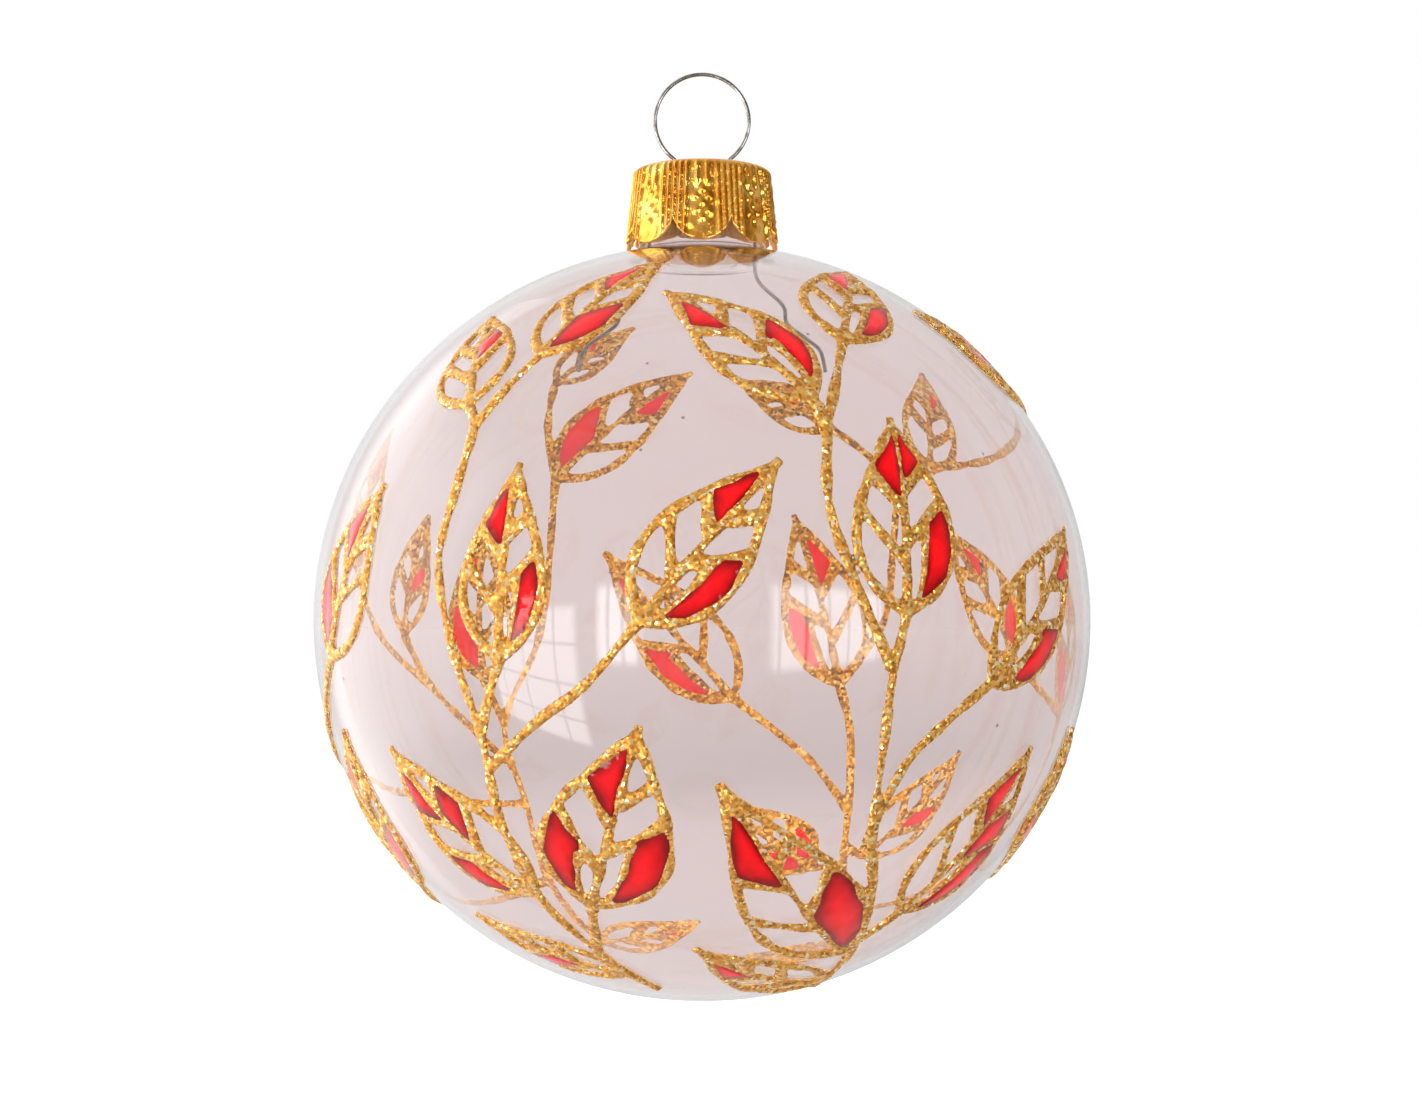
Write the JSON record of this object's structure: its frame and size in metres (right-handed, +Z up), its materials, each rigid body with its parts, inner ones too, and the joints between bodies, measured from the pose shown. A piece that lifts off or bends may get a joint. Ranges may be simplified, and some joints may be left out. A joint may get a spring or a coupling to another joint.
{
  "type": "glass ball ornament",
  "caption": "Hanging clear glass ball with a scalloped gold cap, a spring wire hanger and raised gold leaf vines with red panes painted round the glass.",
  "frame": {"origin": "where the ornament hangs: inside the top of the wire ring, on the ball's axis", "axes": "+Z up along the ball's axis, -Y towards the viewer of the picture, +X to that viewer's right in the plane of the ring"},
  "size_m": [0.0804, 0.0808, 0.0964],
  "materials": {
    "clear_glass": "clear blown glass with a faint warm grey tint",
    "gold_cap": "stamped thin sheet with a shiny gold lacquer",
    "spring_wire": "bright drawn spring wire",
    "gold_glitter": "raised resin lines full of fine gold glitter",
    "red_enamel": "glossy see-through red lacquer"
  },
  "bodies": {
    "hanger": {"hanger_wire": "spring_wire"},
    "cap": {"cap": "gold_cap"},
    "ball": {"glass_ball": "clear_glass", "glitter_vine_front_left": "gold_glitter", "glitter_vine_front_right": "gold_glitter", "glitter_vine_back_left": "gold_glitter", "glitter_vine_back_right": "gold_glitter", "red_panes_front_left": "red_enamel", "red_panes_front_right": "red_enamel", "red_panes_back_left": "red_enamel", "red_panes_back_right": "red_enamel"}
  },
  "joints": [
    {"name": "hanger_pull", "type": "slide", "parent": "hanger", "child": "cap", "axis": [0, 0, -1], "range_m": [0, 0.02], "deforming": ["hanger_wire"]},
    {"name": "ball_turn", "type": "hinge", "parent": "cap", "child": "ball", "pos_m": [0, 0, -0.0569], "axis": [0, 0, 1], "continuous": true}
  ]
}
